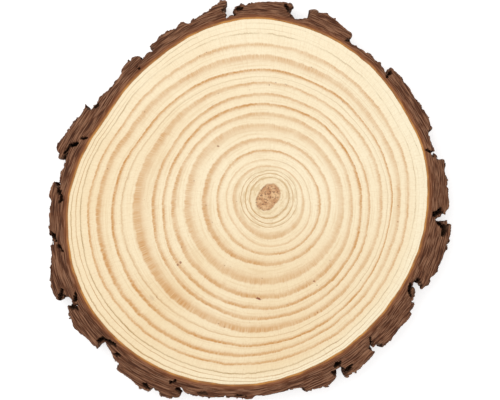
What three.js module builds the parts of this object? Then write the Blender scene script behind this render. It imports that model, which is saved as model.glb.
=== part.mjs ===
// Wood slice: a disc sawn across a conifer stem, with its bark left on, lying flat.
//
// Millimetres, +Z up. The origin is the middle of the slice's outline box, on the lower saw cut.
// Directions round the slice are in degrees, clockwise from +Y as seen from above.
import * as THREE from 'three';

// Driving dimensions
const THICKNESS = 22; // from saw cut to saw cut
const CAMBIUM_GAP = 0.3; // between the wood and the bark
const WOOD_FACETS = 144; // sides of the wood, and of the bark's inner wall
const MID_HEIGHT = 0.55 * THICKNESS; // where the bark stands as proud as at the top
const LOWER_WEATHERING = 0.45; // how far the lower rim's points are worn towards their neighbours

// Radius of the wood at equally spaced directions, beginning at +Y.
const WOOD_RADII = [
  112.5, 112.5, 112, 111.5, 110.5, 111.5, 110, 109,
  108, 108, 109.5, 111.5, 114.5, 116.5, 118.5, 119.5,
  119, 116, 112.5, 107.5, 103, 103.5, 105.5, 109.5,
];

// The bark's plates, clockwise from +Y. Each is the run of its outer edge, as points of
// [direction in degrees, thickness of bark], and ends at the cleft before the next plate.
const BARK_PLATES = [
  [[-7.5, 2.5], [-6, 4], [-4.5, 3.5], [-4.5, 7.5], [-3, 9.5], [0, 9.5], [2, 10.5], [8.5, 12],
    [10.5, 12.5], [12.5, 11], [11.5, 9], [13, 5]],
  [[15, 4.5], [17, 6], [17.8, 9], [17.8, 11.5], [19, 12], [20.5, 12], [22, 13], [24, 12.5],
    [29.5, 10], [31.5, 9], [32, 6.5]],
  [[32.5, 4.5], [35, 4.5], [38, 5.5], [42, 5.5], [44.5, 5.5], [46, 5]],
  [[47.5, 4], [47, 6.5], [47.2, 8.5], [49, 9.5], [50.5, 10], [52, 9.5], [54.5, 10.5], [58.5, 10],
    [63, 11.5], [65, 11.5], [67.5, 10.5], [68.5, 10]],
  [[69.2, 8], [71.5, 6.5], [73.5, 7], [75.2, 7.5]],
  [[75.7, 5], [76.8, 5.5], [76.4, 7.5], [77.8, 8.5], [78.2, 10], [78.5, 12], [80, 12], [81.5, 11.5],
    [85, 12.5], [87, 13], [92, 14], [93, 13], [94, 11.5], [93.3, 9.5], [95, 9]],
  [[95.7, 6.5], [96.3, 6.5], [97.6, 8.5], [96.5, 10.5], [97, 12], [96.3, 13.5], [97.8, 14.5],
    [97, 16.5], [100, 17], [103, 16.5], [108.5, 16], [112, 15.5], [113.5, 14], [115.5, 14],
    [117.3, 12], [116, 10.5], [116.5, 9.5], [115.3, 7.5]],
  [[115.3, 6], [118, 6.5], [118.2, 8.2], [119.2, 8.5], [121.4, 11], [122.6, 11], [122.5, 13],
    [124.6, 13], [125.2, 15], [128, 15.5], [129.5, 15], [136, 15.5], [138, 15], [138.3, 11.5],
    [140.2, 11]],
  [[140.3, 9], [141.5, 9.5], [141, 14], [143, 15], [146, 16], [149, 16], [151.5, 16],
    [151.6, 14], [150.8, 11]],
  [[151.2, 9], [152.5, 8.5], [154.2, 8.5], [153.4, 11], [154, 12.5], [156, 14.5], [158, 15],
    [160, 14], [163, 13], [164.5, 11.5]],
  [[165.5, 9.5], [170, 8.5], [175.5, 8.5], [178.5, 8]],
  [[179.5, 9.5], [181, 9.5], [182.5, 8.5], [186.5, 8], [190.5, 9], [194.5, 10], [198, 10],
    [199.5, 8.5], [200, 7.5]],
  [[201.5, 8], [201.7, 9.5], [200.4, 10.5], [199.7, 12.5], [201.2, 15], [203.5, 16], [205, 14.5],
    [207.4, 13.5], [208, 16], [210, 17], [212, 16], [215, 15], [217.7, 15]],
  [[218.7, 11.5], [220.5, 11], [223, 8.5]],
  [[225, 7], [226, 7], [225.7, 8.5], [226.8, 10.5], [226, 12], [227.2, 13.5], [229, 13.5],
    [233, 15.5], [234.5, 16], [235.5, 15], [238, 13.5], [239.4, 12], [239.4, 10.5], [238.2, 8.5]],
  [[238, 7], [239, 6], [239.5, 8], [241.2, 8.5], [242.5, 10.5], [243.4, 12], [242.6, 12],
    [242, 14.5], [242.6, 16.5], [244.5, 17.5], [247.5, 16.5], [251, 14.5], [255, 12], [257, 11.5]],
  [[257, 10], [258, 9.5], [261, 11.5], [264, 11.5], [266.5, 12], [267.5, 11], [270, 11.5],
    [271, 13], [273, 13], [275.4, 11.5], [274, 9.5]],
  [[273.6, 8], [274.5, 7.5], [276, 8.5], [278, 9], [280, 8.5], [283, 9]],
  [[284.8, 9.5], [284, 11], [282.4, 12], [282.7, 13.5], [283.6, 14], [284.1, 15.5],
    [285.3, 17.5], [290.5, 16], [293, 15], [298.5, 14.5], [300, 14.5], [299.8, 12.5]],
  [[299.4, 11], [302, 10], [304, 10.5], [306, 10], [307.5, 9], [314, 9]],
  [[315.5, 10.5], [318.8, 11], [319.2, 10], [320.3, 11], [321.6, 10], [322.3, 8.5]],
  [[322.3, 6], [325, 7], [327, 5.5]],
  [[327.7, 6.5], [327.5, 9], [329.5, 9.5], [331.5, 10], [334.5, 10.5], [336, 9], [337.7, 10],
    [339.3, 10.5]],
  [[340, 9], [341.6, 7.5], [343, 8.5], [346, 10], [348, 10.5], [350, 13], [352.3, 14],
    [353.4, 13], [351.7, 8], [352.4, 6.5]],
];

// The wood's radius in any direction, on a smooth closed curve through WOOD_RADII.
function woodRadius(degrees) {
  const count = WOOD_RADII.length;
  const station = THREE.MathUtils.euclideanModulo(degrees, 360) * count / 360;
  const first = Math.floor(station);
  const t = station - first;
  const at = (step) => WOOD_RADII[(first + step + count) % count];
  const slopeIn = (at(1) - at(-1)) / 2;
  const slopeOut = (at(2) - at(0)) / 2;
  const bend = 3 * (at(1) - at(0)) - 2 * slopeIn - slopeOut;
  const settle = 2 * (at(0) - at(1)) + slopeIn + slopeOut;
  return at(0) + slopeIn * t + bend * t * t + settle * t * t * t;
}

function inDirection(degrees, radius) {
  const angle = THREE.MathUtils.degToRad(degrees);
  return new THREE.Vector2(radius * Math.sin(angle), radius * Math.cos(angle));
}

// A closed loop just outside the wood, all the way round.
function woodLoop(clearance) {
  const loop = [];
  for (let facet = 0; facet < WOOD_FACETS; facet += 1) {
    const degrees = (360 * facet) / WOOD_FACETS;
    loop.push(inDirection(degrees, woodRadius(degrees) + clearance));
  }
  return loop;
}

function barkLoop() {
  const edge = BARK_PLATES.flat();
  return edge.map(([degrees, bark]) => inDirection(degrees, woodRadius(degrees) + bark));
}

// The loop with each point moved part of the way to the middle of its two neighbours.
function weathered(loop, share) {
  const count = loop.length;
  return loop.map((point, i) => {
    const middle = loop[(i + 1) % count].clone().add(loop[(i + count - 1) % count]).multiplyScalar(0.5);
    return point.clone().lerp(middle, share);
  });
}

// Triangles of a closed solid, gathered corner by corner.
class Skin {
  corners = [];

  triangle(a, b, c) {
    this.corners.push(...a, ...b, ...c);
  }

  // A wall between two clockwise loops of as many points, facing away from their middle.
  wall(lower, lowerZ, upper, upperZ) {
    lower.forEach((low, i) => {
      const next = (i + 1) % lower.length;
      const a = [low.x, low.y, lowerZ];
      const b = [lower[next].x, lower[next].y, lowerZ];
      const c = [upper[i].x, upper[i].y, upperZ];
      const d = [upper[next].x, upper[next].y, upperZ];
      this.triangle(a, c, b);
      this.triangle(b, c, d);
    });
  }

  // A flat sawn face inside one loop and outside the holes, facing up or down.
  sawnFace(loop, holes, z, up) {
    const points = [loop, ...holes].flat();
    const faces = THREE.ShapeUtils.triangulateShape(loop, holes);
    for (const face of faces) {
      const [a, b, c] = face.map((i) => points[i]);
      const turn = (b.x - a.x) * (c.y - a.y) - (b.y - a.y) * (c.x - a.x);
      const [p, q, r] = [a, b, c].map((point) => [point.x, point.y, z]);
      if (turn > 0 === up) this.triangle(p, q, r);
      else this.triangle(p, r, q);
    }
  }

  geometry() {
    const geometry = new THREE.BufferGeometry();
    geometry.setAttribute('position', new THREE.Float32BufferAttribute(this.corners, 3));
    geometry.computeVertexNormals();
    return geometry;
  }
}

function woodDisc() {
  const loop = woodLoop(0);
  const skin = new Skin();
  skin.wall(loop, 0, loop, THICKNESS);
  skin.sawnFace(loop, [], THICKNESS, true);
  skin.sawnFace(loop, [], 0, false);
  const wood = new THREE.MeshStandardMaterial({ color: 0xf3dcb2, roughness: 0.7, metalness: 0 });
  const mesh = new THREE.Mesh(skin.geometry(), wood);
  mesh.name = 'wood_disc';
  return mesh;
}

function barkRing() {
  const inner = woodLoop(CAMBIUM_GAP);
  const upper = barkLoop();
  const lower = weathered(upper, LOWER_WEATHERING);
  const innerFacingIn = [...inner].reverse();
  const skin = new Skin();
  skin.wall(lower, 0, upper, MID_HEIGHT);
  skin.wall(upper, MID_HEIGHT, upper, THICKNESS);
  skin.wall(innerFacingIn, 0, innerFacingIn, THICKNESS);
  skin.sawnFace(upper, [inner], THICKNESS, true);
  skin.sawnFace(lower, [inner], 0, false);
  const bark = new THREE.MeshStandardMaterial({ color: 0x6b4630, roughness: 0.92, metalness: 0 });
  const mesh = new THREE.Mesh(skin.geometry(), bark);
  mesh.name = 'bark_ring';
  return mesh;
}

// The whole slice, moved so that the middle of its outline is over the origin.
const middle = new THREE.Box2().setFromPoints(barkLoop()).getCenter(new THREE.Vector2());
const slice = new THREE.Group();
slice.position.set(-middle.x, -middle.y, 0);
slice.add(woodDisc(), barkRing());

const group = new THREE.Group();
group.add(slice);
export default group;
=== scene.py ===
"""A slice sawn across a conifer stem, with its rough bark left on, lying flat on a pale floor.

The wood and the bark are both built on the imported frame's outlines.  Shapes are worked out in
millimetres and become metres when a mesh is made.  Compass directions are in degrees, clockwise
from +Y as seen from above, and the growth rings are measured out from the pith.
"""

import math

import bpy
import numpy as np
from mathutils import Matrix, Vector, kdtree, noise
from mathutils.geometry import delaunay_2d_cdt


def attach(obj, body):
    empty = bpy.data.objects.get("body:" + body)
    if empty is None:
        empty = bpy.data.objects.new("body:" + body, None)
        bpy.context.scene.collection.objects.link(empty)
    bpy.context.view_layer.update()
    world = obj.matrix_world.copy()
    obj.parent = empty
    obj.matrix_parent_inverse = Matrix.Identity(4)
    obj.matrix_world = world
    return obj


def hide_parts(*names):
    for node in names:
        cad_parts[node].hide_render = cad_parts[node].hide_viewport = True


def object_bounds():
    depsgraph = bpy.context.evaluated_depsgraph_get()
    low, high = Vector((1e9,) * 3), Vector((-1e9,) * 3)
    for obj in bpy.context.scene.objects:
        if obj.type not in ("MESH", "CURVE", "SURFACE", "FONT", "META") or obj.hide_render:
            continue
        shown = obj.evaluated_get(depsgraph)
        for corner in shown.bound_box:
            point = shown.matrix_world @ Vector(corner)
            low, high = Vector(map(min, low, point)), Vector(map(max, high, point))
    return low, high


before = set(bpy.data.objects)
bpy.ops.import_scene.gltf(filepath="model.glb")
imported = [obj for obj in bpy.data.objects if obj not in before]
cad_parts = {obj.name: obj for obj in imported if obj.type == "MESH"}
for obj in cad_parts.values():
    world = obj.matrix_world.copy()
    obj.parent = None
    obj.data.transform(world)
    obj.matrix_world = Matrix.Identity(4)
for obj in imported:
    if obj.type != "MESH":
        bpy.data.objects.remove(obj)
cad_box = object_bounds()

MM = 0.001
THICKNESS = (cad_box[1].z - cad_box[0].z) / MM
FLOOR_Z = cad_box[0].z

# The wood
PITH = np.array((11.5, 2.0))
PITH_DIP = 0.25  # the soft pith is sanded down this far at its middle
COLUMNS = 480  # points round the rim of the wood
THINNING_RADII = (34, 16, 7)  # inside each of these a row has half as many points
ROW_STEP = 0.8  # between rows of points on the upper face
LOWER_ROW_STEP = 1.9
ROW_CROWDING = 1.15  # above 1, rows lie closer together towards a ring's hard edge
RIM_ROWS = 4
LEAST_RING = 0.7  # no ring is narrower
RIM_WANDER = 0.35  # how far the wood's edge strays from an even curve
HARD_EDGE = 0.5  # from the middle of a ring's dark band out to its hard edge
LATEWOOD_RELIEF = 0.09  # the hard part of each ring stands this proud of the soft part

# The bark
INNER_GAP = 0.07  # between the wood and the bark
BARK_REACH = 19  # further out from the wood than any bark
MEAN_RADIUS = 115  # of the wood, for spacing points round the bark
OUTLINE_STEP = 0.62  # between points along the bark's outer edge
WALL_ROWS = 22
INNER_ROWS = 3
LEAST_FLOOR = 6  # bark left under the deepest cleft
RIDGE_LIMIT = 0.35  # the layers stand no further above the sawn face
FLAKES_PER_SQUARE_METRE = 38000.0
FLAKES_BELOW_TOP = 0.6
FLAKE_SUNK = 0.25  # how far a flake lies in the wall, as a share of its thickness

# Each ring's dark band, as distances from the pith towards N NE E SE S SW W NW, the pith's own edge
# first.  Then, on the north-east and on the south-west, the share of the ring that is latewood and
# how dark it is.
RINGS = (
    ((8.4, 9.0, 7.5, 6.5, 8.7, 10.0, 7.5, 6.8), (0.15, 0.50), (0.15, 0.50)),
    ((12.1, 12.8, 13.1, 13.1, 13.7, 12.8, 11.8, 11.8), (0.24, 0.55), (0.26, 0.70)),
    ((14.3, 14.9, 15.2, 16.2, 16.5, 15.5, 14.3, 14.3), (0.26, 0.60), (0.26, 0.75)),
    ((16.2, 17.1, 17.7, 18.7, 18.7, 18.0, 17.1, 16.5), (0.24, 0.50), (0.26, 0.65)),
    ((19.3, 19.9, 21.8, 25.2, 26.4, 23.3, 22.4, 20.8), (0.40, 0.35), (0.70, 0.45)),
    ((23.0, 23.9, 25.5, 30.2, 31.4, 28.0, 26.4, 24.9), (0.25, 0.30), (0.40, 0.25)),
    ((29.2, 29.2, 32.0, 35.5, 36.4, 34.8, 32.3, 31.1), (0.30, 0.55), (0.45, 0.45)),
    ((36.7, 36.1, 38.3, 41.4, 42.9, 43.5, 41.4, 39.2), (0.40, 0.40), (0.55, 0.60)),
    ((45.4, 44.5, 47.0, 50.7, 54.8, 55.0, 52.6, 49.6), (0.60, 0.40), (0.55, 0.45)),
    ((52.6, 51.0, 52.2, 57.9, 63.6, 64.0, 59.9, 55.0), (0.55, 0.45), (0.50, 0.50)),
    ((58.5, 56.3, 58.0, 63.8, 69.9, 71.1, 65.9, 61.2), (0.40, 0.70), (0.45, 0.50)),
    ((64.4, 61.0, 62.9, 68.4, 76.3, 77.3, 72.4, 67.2), (0.40, 0.50), (0.50, 0.55)),
    ((71.5, 68.7, 71.0, 74.2, 83.3, 87.6, 84.6, 75.9), (0.30, 0.40), (0.75, 0.55)),
    ((74.6, 71.5, 73.6, 76.8, 86.5, 93.6, 91.4, 79.4), (0.22, 0.28), (0.27, 0.32)),
    ((79.3, 75.6, 76.5, 80.4, 91.4, 100.5, 97.0, 84.5), (0.50, 0.70), (0.45, 0.60)),
    ((88.3, 82.3, 81.8, 84.6, 97.1, 109.2, 107.0, 92.9), (0.65, 0.45), (0.42, 0.55)),
    ((95.8, 88.8, 87.5, 89.8, 102.3, 115.4, 112.0, 99.9), (0.45, 0.45), (0.40, 0.50)),
    ((102.0, 93.6, 91.6, 93.3, 107.3, 120.1, 117.0, 104.8), (0.20, 0.45), (0.22, 0.65)),
    ((104.2, 94.2, 93.3, 95.8, 110.1, 121.9, 119.4, 106.1), (0.22, 0.36), (0.26, 0.70)),
    ((108.2, 98.3, 96.7, 97.7, 112.0, 126.6, 121.9, 108.9), (0.18, 0.32), (0.24, 0.70)),
)

# The wood's own edge in the same eight directions, where the last ring is still growing
EDGE_AT_STATIONS = (110.7, 101.4, 98.6, 99.2, 113.5, 129.1, 124.1, 111.0)

# Clefts that run down into the bark.  Each is a stroke from one compass direction and distance out
# from the wood to another, then half its width and its depth.
CLEFTS = (
    (284, 11.5, 287, 10.0, 0.90, 8), (287, 10.0, 288, 6.6, 1.25, 12), (290, 6.0, 290.5, 3.5, 0.60, 8),
    (275, 9.6, 270, 4.6, 0.80, 8), (301, 9.2, 302, 9.5, 0.70, 6), (300, 14.0, 299.5, 11.8, 0.80, 8),
    (319.3, 5.0, 320, 2.6, 0.55, 6), (351.7, 9.0, 352.3, 6.8, 0.80, 7), (356, 7.6, 357.6, 7.5, 0.70, 6),
    (10.5, 10.3, 12, 7.2, 0.80, 8), (12.5, 5.0, 15, 4.7, 0.70, 7), (17, 7.0, 17.6, 11.2, 0.70, 7),
    (31, 3.2, 32, 6.0, 0.60, 6), (48.2, 3.5, 47.5, 7.5, 0.35, 6), (68.3, 8.0, 69.7, 8.5, 0.70, 6),
    (74, 2.8, 75.7, 6.5, 0.60, 7), (94.7, 5.2, 92.8, 9.0, 1.20, 12), (97, 8.5, 98, 13.0, 1.30, 13),
    (98, 13.0, 100.3, 12.7, 1.20, 10), (115.2, 7.0, 116.4, 10.6, 0.80, 9),
    (117.6, 4.6, 121, 8.3, 0.80, 8), (139.2, 6.0, 140, 9.4, 0.70, 7), (138, 12.7, 137.5, 15.3, 0.70, 8),
    (153, 6.2, 151, 6.3, 1.10, 11), (151.5, 14.0, 148.7, 11.4, 1.10, 10),
    (154.7, 8.4, 153.7, 11.7, 0.80, 8), (165, 10.0, 164, 11.2, 0.70, 6),
    (195, 8.0, 192.8, 7.2, 0.70, 3), (184.4, 7.0, 181.5, 7.2, 0.70, 3), (203.7, 6.5, 202.3, 4.0, 0.60, 7),
    (210.2, 14.0, 208.2, 14.7, 0.80, 6), (227, 10.0, 226.6, 6.0, 1.00, 9),
    (226.6, 6.0, 223, 3.5, 0.80, 8), (221.8, 9.0, 219.8, 6.6, 0.70, 7),
    (242.4, 15.0, 244.6, 11.0, 1.10, 9), (240, 7.4, 241.8, 4.2, 0.80, 9), (239.2, 11.0, 238, 7.8, 0.80, 9),
    (261, 10.6, 258, 8.0, 0.80, 8), (256.5, 6.8, 254.8, 4.8, 0.70, 7), (269.6, 5.7, 270, 4.0, 0.60, 6),
)

# Small marks in the wood: place from the origin, length, width, turn in degrees and how dark
FLECKS = (
    ((5.3, -61.4), 3.4, 1.3, 25, 0.95), ((39.8, -50.5), 1.4, 1.1, 0, 0.8),
    ((41.7, -53.0), 1.0, 0.8, 0, 0.5), ((-43.2, -38.9), 1.9, 1.5, 40, 0.75),
    ((-44.9, -40.4), 1.6, 1.3, 0, 0.7), ((-19.9, 33.5), 1.5, 1.2, 0, 0.7),
    ((-61.0, -61.0), 4.5, 2.2, 45, 0.15), ((12.0, 71.5), 1.0, 0.9, 0, 0.5),
    ((16.0, 73.0), 0.9, 0.8, 0, 0.5), ((22.0, 72.0), 1.0, 0.8, 0, 0.4),
)

# The floor, in metres
FLOOR_GAP = 0.0002  # below the slice
FLOOR_HALF = 4.0  # from its middle to its sides


# ---------------------------------------------------------------- curves, noise and outlines


def smooth_step(values, low, high):
    t = np.clip((np.asarray(values, float) - low) / (high - low), 0, 1)
    return t * t * (3 - 2 * t)


def direction(degrees):
    angle = np.radians(degrees)
    return np.stack((np.sin(angle), np.cos(angle)), -1)


def compass(points):
    return np.degrees(np.arctan2(points[..., 0], points[..., 1])) % 360


def around(values, degrees):
    """A smooth closed curve through values at equally spaced directions, beginning at +Y."""
    values = np.asarray(values, float)
    count = len(values)
    station = np.asarray(degrees, float) % 360 * count / 360
    first = np.floor(station).astype(int)
    t = station - first
    before, here, after, beyond = (values[(first + step) % count] for step in (-1, 0, 1, 2))
    slope_in = (after - before) / 2
    slope_out = (beyond - here) / 2
    bend = 3 * (after - here) - 2 * slope_in - slope_out
    settle = 2 * (here - after) + slope_in + slope_out
    return here + slope_in * t + bend * t**2 + settle * t**3


def wander(points, size, seed):
    """Smooth noise, about -1 to 1, at points in mm, with bumps of that size along each axis."""
    shift = Vector((17.3, 5.1, 29.7)) * seed
    scaled = np.asarray(points, float) / np.asarray(size, float)
    return np.array([noise.noise(Vector(p) + shift) for p in scaled.tolist()])


def with_height(points, height):
    return np.column_stack((points, np.broadcast_to(height, len(points))))


def sawn_loops(node):
    """The closed outlines of a CAD piece's upper sawn face, walked with the face on their left."""
    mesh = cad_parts[node].data
    top = max(v.co.z for v in mesh.vertices) - 1e-5
    edges = {}
    for face in mesh.polygons:
        corners = [mesh.vertices[i].co for i in face.vertices]
        if min(c.z for c in corners) > top:
            keys = [(round(c.x / MM, 3), round(c.y / MM, 3)) for c in corners]
            edges.update({(a, b): None for a, b in zip(keys, keys[1:] + keys[:1])})
    following = {a: b for a, b in edges if (b, a) not in edges}
    loops = []
    while following:
        point = next(iter(following))
        loop = []
        while point in following:
            loop.append(point)
            point = following.pop(point)
        loops.append(np.array(loop))
    return sorted(loops, key=lambda loop: -np.abs(loop).max())


def closed_curve(points, spacing):
    """A centripetal Catmull-Rom curve through a closed loop, stepped about evenly."""
    made = []
    loops = (np.roll(points, shift, 0) for shift in (1, 0, -1, -2))
    for p0, p1, p2, p3 in zip(*loops):
        t1 = math.sqrt(np.linalg.norm(p1 - p0))
        t2 = t1 + math.sqrt(np.linalg.norm(p2 - p1))
        t3 = t2 + math.sqrt(np.linalg.norm(p3 - p2))
        steps = max(1, round(np.linalg.norm(p2 - p1) / spacing))
        for t in t1 + (t2 - t1) * np.arange(steps) / steps:
            a1 = p0 + (p1 - p0) * t / t1
            a2 = p1 + (p2 - p1) * (t - t1) / (t2 - t1)
            a3 = p2 + (p3 - p2) * (t - t2) / (t3 - t2)
            b1 = a1 + (a2 - a1) * t / t2
            b2 = a2 + (a3 - a2) * (t - t1) / (t3 - t1)
            made.append(b1 + (b2 - b1) * (t - t1) / (t2 - t1))
    return np.array(made)


def outward_normals(loop):
    along = np.roll(loop, -1, 0) - np.roll(loop, 1, 0)
    normals = np.column_stack((along[:, 1], -along[:, 0]))
    return normals / np.linalg.norm(normals, axis=1, keepdims=True)


WOOD_LOOP = sawn_loops("wood_disc")[0]
BARK_LOOP = sawn_loops("bark_ring")[0]
COLUMN_DEGREES = -360 * np.arange(COLUMNS) / COLUMNS


def radius_lookup(loop, centre):
    """A function that gives a star-shaped loop's distance from a centre in any direction."""
    spokes = loop - centre
    degrees = compass(spokes)
    order = np.argsort(degrees)
    lengths = np.linalg.norm(spokes, axis=1)[order]
    return lambda wanted: np.interp(np.asarray(wanted) % 360, degrees[order], lengths, period=360)


even_edge = radius_lookup(WOOD_LOOP, PITH)
edge_from_origin = radius_lookup(WOOD_LOOP, np.zeros(2))


def wood_edge(degrees):
    """How far the wood reaches from the pith, with the small waves of the grown surface."""
    degrees = np.asarray(degrees, float)
    places = with_height(direction(degrees), 0) * 110
    waves = wander(places, 9, 3) + 0.45 * wander(places, 3.2, 4)
    return even_edge(degrees) + RIM_WANDER * waves


EDGE = wood_edge(COLUMN_DEGREES)


def out_from_wood(points):
    """Distance of points in the bark from the wood's edge."""
    spokes = points[:, :2] - PITH
    degrees = compass(spokes)
    order = np.argsort(COLUMN_DEGREES % 360)
    edge = np.interp(degrees, (COLUMN_DEGREES % 360)[order], EDGE[order], period=360)
    return np.linalg.norm(spokes, axis=1) - edge


# ---------------------------------------------------------------- meshes


class Skin:
    """Gathers one piece's points and faces, in mm, with what its material and its map read."""

    def __init__(self):
        self.points = []
        self.values = []
        self.faces = []
        self.regions = []
        self.places = {}

    def add(self, points, values):
        """New points, each with three values for the material; gives their numbers."""
        first = len(self.points)
        self.points.extend(np.asarray(points).tolist())
        self.values.extend(np.asarray(values).tolist())
        return list(range(first, len(self.points)))

    def map(self, region, numbers, places):
        """Where points lie on the piece's flat map, for the faces of one region."""
        self.places.setdefault(region, {}).update(zip(numbers, np.asarray(places).tolist()))

    def face(self, region, *corners):
        self.faces.append(corners)
        self.regions.append(region)

    def band(self, region, outer, inner):
        """Faces between two closed rows: equal, or the outer one with twice as many points."""
        for i in range(len(inner)):
            after = (i + 1) % len(inner)
            if len(outer) == len(inner):
                self.face(region, inner[i], outer[i], outer[after], inner[after])
            else:
                a, b, c = outer[2 * i], outer[2 * i + 1], outer[2 * after]
                self.face(region, inner[i], a, b)
                self.face(region, inner[i], b, inner[after])
                self.face(region, inner[after], b, c)

    def fan(self, region, row, centre):
        for i, number in enumerate(row):
            self.face(region, centre, number, row[(i + 1) % len(row)])

    def turn_over(self, start):
        """Faces made since then look the other way."""
        self.faces[start:] = [corners[::-1] for corners in self.faces[start:]]

    def build(self, name, attribute, material, sharp_degrees=40):
        mesh = bpy.data.meshes.new(name)
        mesh.from_pydata((np.array(self.points) * MM).tolist(), [], self.faces)
        values = mesh.attributes.new(attribute, "FLOAT_VECTOR", "POINT")
        values.data.foreach_set("vector", np.array(self.values, np.float32).ravel())
        flat_map = mesh.uv_layers.new(name="OFBake")
        corners = [self.places[r][v] for r, f in zip(self.regions, self.faces) for v in f]
        flat_map.data.foreach_set("uv", np.array(corners, np.float32).ravel())
        mesh.materials.append(material)
        mesh.shade_smooth()
        mesh.set_sharp_from_angle(angle=math.radians(sharp_degrees))
        mesh.validate()
        piece = bpy.data.objects.new(name, mesh)
        bpy.context.scene.collection.objects.link(piece)
        return piece


def ring_map(centre, radius, shares):
    """Places round a circle on a flat map, one for each share of a full turn."""
    angle = 2 * np.pi * np.asarray(shares)
    return np.column_stack((centre[0] + radius * np.cos(angle), centre[1] + radius * np.sin(angle)))


def flat_map(wide, share, centre):
    """A function that lays a sawn face, so many mm wide, over a share of the flat map."""
    return lambda places: places / wide * share + centre


# ---------------------------------------------------------------- the wood


def ring_edges():
    """Distance from the pith to each ring's outer edge in every column, the rim last."""
    rim_fit = EDGE / around(EDGE_AT_STATIONS, COLUMN_DEGREES)
    spokes = with_height(direction(COLUMN_DEGREES), 0)
    edges = []
    for number, (stations, _, _) in enumerate(RINGS):
        even = around(stations, COLUMN_DEGREES) + (HARD_EDGE if number else 0)
        pull = (even / EDGE) ** 2
        lifted = spokes + (0, 0, number * 0.22)
        waves = 0.75 * wander(lifted, 0.3, 11) + 0.22 * wander(lifted, 0.1, 12)
        edges.append(even * (1 + pull * (rim_fit - 1)) + waves * np.clip(even / 60, 0.25, 1))
    edges.append(EDGE)
    for inner, outer in zip(edges, edges[1:]):
        np.maximum(outer, inner + LEAST_RING, out=outer)
    edges[-1] = EDGE
    return np.array(edges)


def ring_character(number):
    """In every column, where a ring's latewood begins, as a share of the ring, and its darkness."""
    toward_southwest = 0.5 - 0.5 * np.cos(np.radians(COLUMN_DEGREES - 45))
    _, (share_a, dark_a), (share_b, dark_b) = RINGS[min(number, len(RINGS) - 1)]
    share = share_a + (share_b - share_a) * toward_southwest
    dark = dark_a + (dark_b - dark_a) * toward_southwest
    if number == len(RINGS):
        dark = dark * 0.35  # this ring is still growing
    return 1 - share, dark


def sawn_wood_face(skin, edges, z, row_step, region, to_map):
    """One sawn face of the wood, as rows that follow the rings in from the rim to the pith.

    Gives back the numbers of the rim's points.
    """
    facing_up = z > THICKNESS / 2
    start = len(skin.faces)
    rows = []
    for number in range(len(edges) - 1, -1, -1):
        outer = edges[number]
        inner = edges[number - 1] if number else np.zeros(COLUMNS)
        begins, dark = ring_character(number)
        steps = max(2, round(float(np.mean(outer - inner)) / row_step))
        for step in range(steps, 0, -1):
            share = 1 - (1 - step / steps) ** ROW_CROWDING
            radius = inner + (outer - inner) * share
            mean = float(np.mean(radius))
            stride = 2 ** sum(mean < limit for limit in THINNING_RADII)
            late = smooth_step(share, begins, begins + 0.5 * (1 - begins)) * dark * (share < 0.999)
            columns = np.arange(0, COLUMNS, stride)
            flat = PITH + direction(COLUMN_DEGREES[columns]) * radius[columns, None]
            height = LATEWOOD_RELIEF * late[columns]
            if number == 0:
                height = height - PITH_DIP * (1 - share)
            points = with_height(flat, z + (height if facing_up else -height * 0.5))
            age = np.full(len(columns), number + share)
            row = skin.add(points, np.column_stack((age, begins[columns], dark[columns])))
            skin.map(region, row, to_map(flat))
            if rows:
                skin.band(region, rows[-1], row)
            rows.append(row)
    centre = skin.add([(*PITH, z - PITH_DIP if facing_up else z)], [(0, 0.8, 0.3)])
    skin.map(region, centre, to_map(PITH[None, :]))
    skin.fan(region, rows[-1], centre[0])
    if not facing_up:
        skin.turn_over(start)
    return rows[0]


def wood_rim(skin, upper, lower):
    """The wood's rim under the bark, row by row from the upper face down to the lower one."""
    shares = np.arange(COLUMNS) / COLUMNS
    flat = PITH + direction(COLUMN_DEGREES) * EDGE[:, None]
    values = np.tile((len(RINGS) + 1.0, 0.8, 0.1), (COLUMNS, 1))
    above = upper
    for step in range(RIM_ROWS + 1):
        if step == 0:
            row = upper
        elif step == RIM_ROWS:
            row = lower
        else:
            row = skin.add(with_height(flat, THICKNESS * (1 - step / RIM_ROWS)), values)
        skin.map("rim", row, ring_map((0.84, 0.17), 0.15 - 0.008 * step, shares))
        if step:
            skin.band("rim", row, above)
        above = row


def sawn_wood():
    skin = Skin()
    edges = ring_edges()
    upper_map = flat_map(250, 0.64, (0.335, 0.335))
    lower_map = flat_map(250, 0.33, (0.825, 0.825))
    upper = sawn_wood_face(skin, edges, THICKNESS, ROW_STEP, "upper", upper_map)
    lower = sawn_wood_face(skin, edges, 0.0, LOWER_ROW_STEP, "lower", lower_map)
    wood_rim(skin, upper, lower)
    return skin.build("sawn_wood", "ring", wood_material())


# ---------------------------------------------------------------- the bark


def bark_point(degrees, out):
    """A place in the bark, from a compass direction about the origin and a distance out."""
    return direction(degrees) * (edge_from_origin(degrees) + out)


def cleft_sink(points, depth_share=1.0, seed=20):
    """How far the clefts push each point down, with ragged steep walls."""
    flat = points[:, :2]
    places = with_height(flat, 0)
    ragged = 0.75 * wander(places, 1.0, seed) + 0.95 * wander(places, 2.3, seed + 1)
    sink = np.zeros(len(flat))
    for from_degrees, from_out, to_degrees, to_out, half_width, depth in CLEFTS:
        a = bark_point(from_degrees, from_out)
        b = bark_point(to_degrees, to_out)
        along = np.clip((flat - a) @ (b - a) / ((b - a) @ (b - a)), 0, 1)
        distance = np.linalg.norm(flat - a - along[:, None] * (b - a), axis=1) + ragged
        thinning = half_width * (0.5 + 0.45 * np.sin(np.pi * along))
        reach = 1 - smooth_step(distance, thinning - 0.4, thinning + 0.3)
        sink = np.maximum(sink, reach * depth * depth_share)
    return sink


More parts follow.
